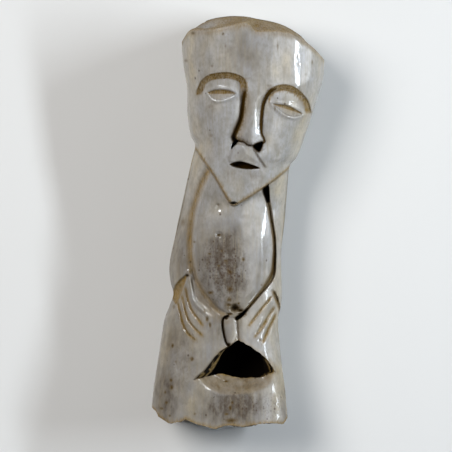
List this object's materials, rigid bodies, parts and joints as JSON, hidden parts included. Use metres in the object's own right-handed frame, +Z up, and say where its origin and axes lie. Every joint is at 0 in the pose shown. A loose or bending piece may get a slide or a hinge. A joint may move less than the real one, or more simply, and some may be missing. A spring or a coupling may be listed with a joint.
{
  "type": "carved bone figurine",
  "caption": "Hollow carved bone figurine lying on its back, with a mask-like face, hands meeting below a rounded belly and a triangular opening above a broken foot.",
  "frame": {"origin": "middle of the figurine's outline seen from above, on the surface it lies on", "axes": "+Z up out of the face, +Y toward the head, +X to the right as one looks down on the face"},
  "size_m": [0.0627, 0.15, 0.0386],
  "materials": {
    "bone": null
  },
  "bodies": {
    "root": {"figurine": "bone"}
  },
  "joints": []
}
